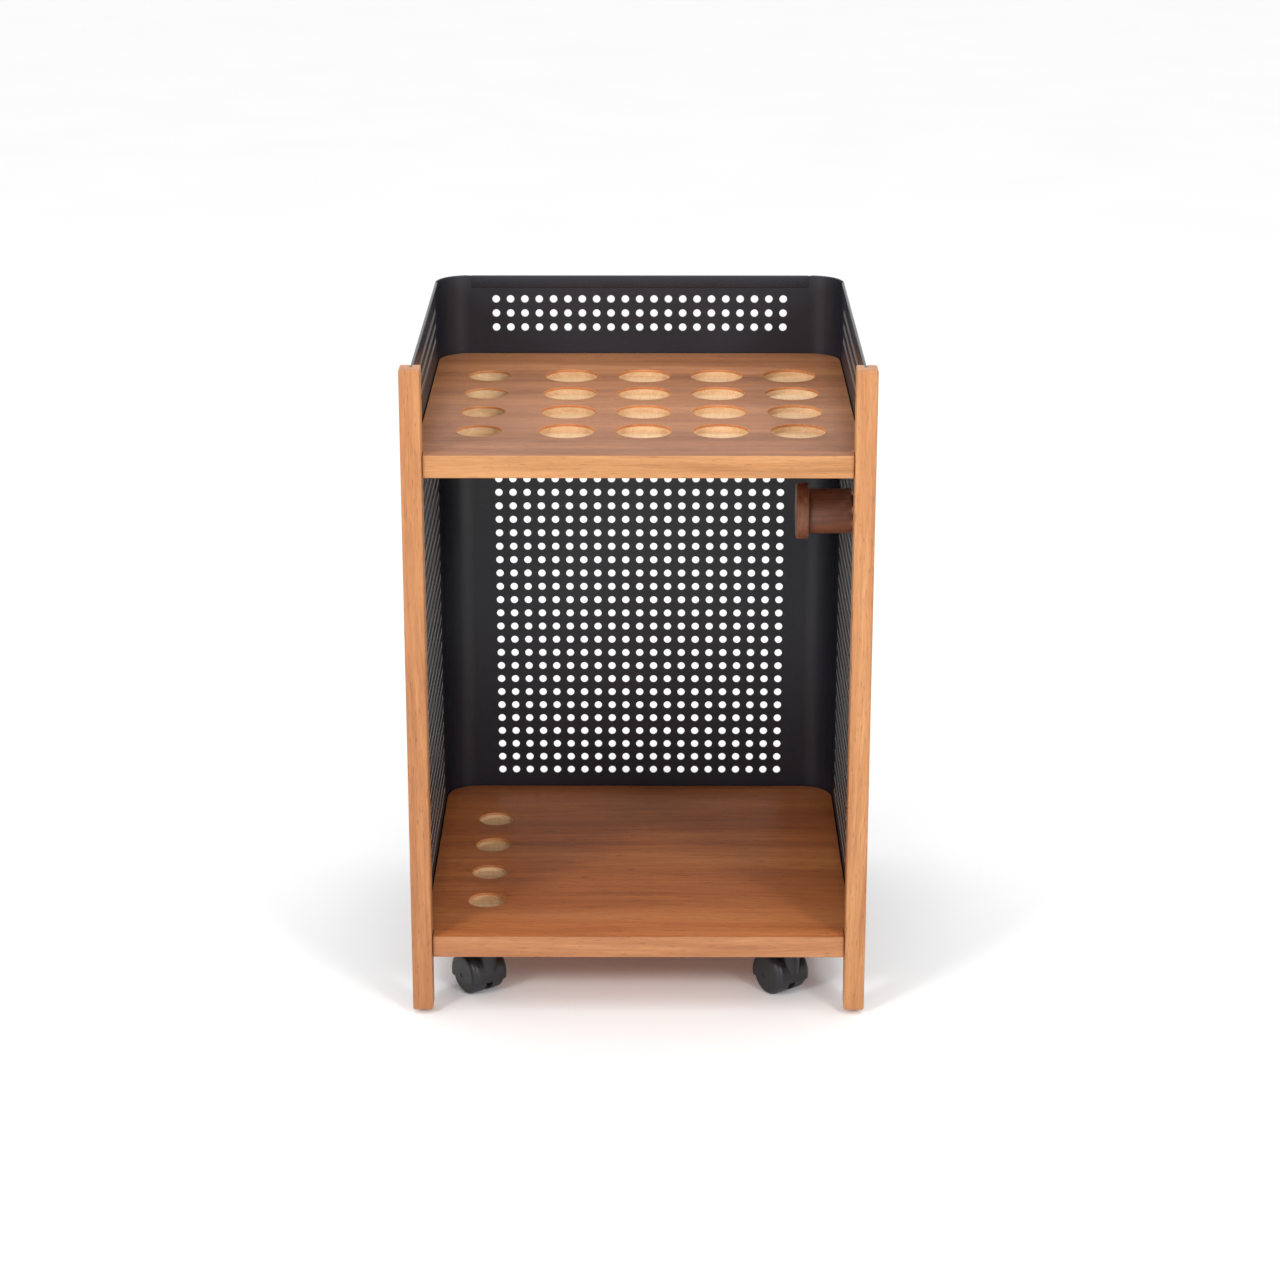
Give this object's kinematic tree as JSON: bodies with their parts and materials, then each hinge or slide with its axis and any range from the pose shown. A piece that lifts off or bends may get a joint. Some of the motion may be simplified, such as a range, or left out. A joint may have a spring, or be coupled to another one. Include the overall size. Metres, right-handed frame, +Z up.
{
  "type": "rolling pegboard stand",
  "caption": "Wheeled stand: a perforated sheet-steel shell bent into a U, wood front posts, a drilled top shelf with round seats, a bottom shelf, a hanging peg and swivel casters.",
  "frame": {"origin": "on the floor, under the middle of the stand's width and depth", "axes": "+Z up, +X to the right seen from the open front, +Y from the open front to the back panel"},
  "size_m": [0.45, 0.428, 0.66],
  "materials": {
    "black_steel": "fine-textured satin black powder coat",
    "stained_wood": "oiled reddish-brown hardwood, satin",
    "stained_board": "stained reddish-brown veneered board, satin, raw pale wood in the seats",
    "walnut": "oiled dark walnut, turned",
    "zinc_steel": "zinc-plated steel",
    "black_plastic": "moulded black nylon, fine texture",
    "wheel_plastic": "moulded dark grey nylon tread"
  },
  "bodies": {
    "cart": {"back_panel": "black_steel", "left_panel": "black_steel", "right_panel": "black_steel", "back_fold": "black_steel", "left_fold": "black_steel", "right_fold": "black_steel", "left_corner": "black_steel", "right_corner": "black_steel", "top_bracket_left": "black_steel", "top_bracket_right": "black_steel", "top_bracket_back": "black_steel", "bottom_bracket_left": "black_steel", "bottom_bracket_right": "black_steel", "bottom_bracket_back": "black_steel", "left_post": "stained_wood", "right_post": "stained_wood", "top_shelf": "stained_board", "bottom_shelf": "stained_board", "peg_barrel": "walnut", "peg_flange": "walnut", "post_screws": "black_steel", "top_bracket_screws": "zinc_steel", "bottom_bracket_screws": "zinc_steel", "caster_screws": "zinc_steel", "peg_insert": "zinc_steel", "peg_bolt": "black_steel", "peg_washer": "black_steel", "front_left_plate": "zinc_steel", "front_left_kingpin": "zinc_steel", "front_right_plate": "zinc_steel", "front_right_kingpin": "zinc_steel", "rear_left_plate": "zinc_steel", "rear_left_kingpin": "zinc_steel", "rear_right_plate": "zinc_steel", "rear_right_kingpin": "zinc_steel"},
    "front_left_swivel": {"front_left_hood": "black_plastic", "front_left_axle": "black_steel"},
    "front_left_left_wheel": {"front_left_wheel_left": "wheel_plastic"},
    "front_left_right_wheel": {"front_left_wheel_right": "wheel_plastic"},
    "front_right_swivel": {"front_right_hood": "black_plastic", "front_right_axle": "black_steel"},
    "front_right_left_wheel": {"front_right_wheel_left": "wheel_plastic"},
    "front_right_right_wheel": {"front_right_wheel_right": "wheel_plastic"},
    "rear_left_swivel": {"rear_left_hood": "black_plastic", "rear_left_axle": "black_steel"},
    "rear_left_left_wheel": {"rear_left_wheel_left": "wheel_plastic"},
    "rear_left_right_wheel": {"rear_left_wheel_right": "wheel_plastic"},
    "rear_right_swivel": {"rear_right_hood": "black_plastic", "rear_right_axle": "black_steel"},
    "rear_right_left_wheel": {"rear_right_wheel_left": "wheel_plastic"},
    "rear_right_right_wheel": {"rear_right_wheel_right": "wheel_plastic"}
  },
  "joints": [
    {"name": "front_left_swivel_turn", "type": "hinge", "parent": "cart", "child": "front_left_swivel", "pos_m": [-0.153, -0.164, 0.05], "axis": [0, 0, 1], "continuous": true},
    {"name": "front_left_left_wheel_roll", "type": "hinge", "parent": "front_left_swivel", "child": "front_left_left_wheel", "pos_m": [-0.16203, -0.15202, 0.021], "axis": [0.7986, 0.6018, 0], "continuous": true},
    {"name": "front_left_right_wheel_roll", "type": "hinge", "parent": "front_left_swivel", "child": "front_left_right_wheel", "pos_m": [-0.16203, -0.15202, 0.021], "axis": [0.7986, 0.6018, 0], "continuous": true},
    {"name": "front_right_swivel_turn", "type": "hinge", "parent": "cart", "child": "front_right_swivel", "pos_m": [0.153, -0.164, 0.05], "axis": [0, 0, 1], "continuous": true},
    {"name": "front_right_left_wheel_roll", "type": "hinge", "parent": "front_right_swivel", "child": "front_right_left_wheel", "pos_m": [0.14397, -0.15202, 0.021], "axis": [0.7986, 0.6018, 0], "continuous": true},
    {"name": "front_right_right_wheel_roll", "type": "hinge", "parent": "front_right_swivel", "child": "front_right_right_wheel", "pos_m": [0.14397, -0.15202, 0.021], "axis": [0.7986, 0.6018, 0], "continuous": true},
    {"name": "rear_left_swivel_turn", "type": "hinge", "parent": "cart", "child": "rear_left_swivel", "pos_m": [-0.153, 0.161, 0.05], "axis": [0, 0, 1], "continuous": true},
    {"name": "rear_left_left_wheel_roll", "type": "hinge", "parent": "rear_left_swivel", "child": "rear_left_left_wheel", "pos_m": [-0.16203, 0.17298, 0.021], "axis": [0.7986, 0.6018, 0], "continuous": true},
    {"name": "rear_left_right_wheel_roll", "type": "hinge", "parent": "rear_left_swivel", "child": "rear_left_right_wheel", "pos_m": [-0.16203, 0.17298, 0.021], "axis": [0.7986, 0.6018, 0], "continuous": true},
    {"name": "rear_right_swivel_turn", "type": "hinge", "parent": "cart", "child": "rear_right_swivel", "pos_m": [0.153, 0.161, 0.05], "axis": [0, 0, 1], "continuous": true},
    {"name": "rear_right_left_wheel_roll", "type": "hinge", "parent": "rear_right_swivel", "child": "rear_right_left_wheel", "pos_m": [0.14397, 0.17298, 0.021], "axis": [0.7986, 0.6018, 0], "continuous": true},
    {"name": "rear_right_right_wheel_roll", "type": "hinge", "parent": "rear_right_swivel", "child": "rear_right_right_wheel", "pos_m": [0.14397, 0.17298, 0.021], "axis": [0.7986, 0.6018, 0], "continuous": true}
  ]
}
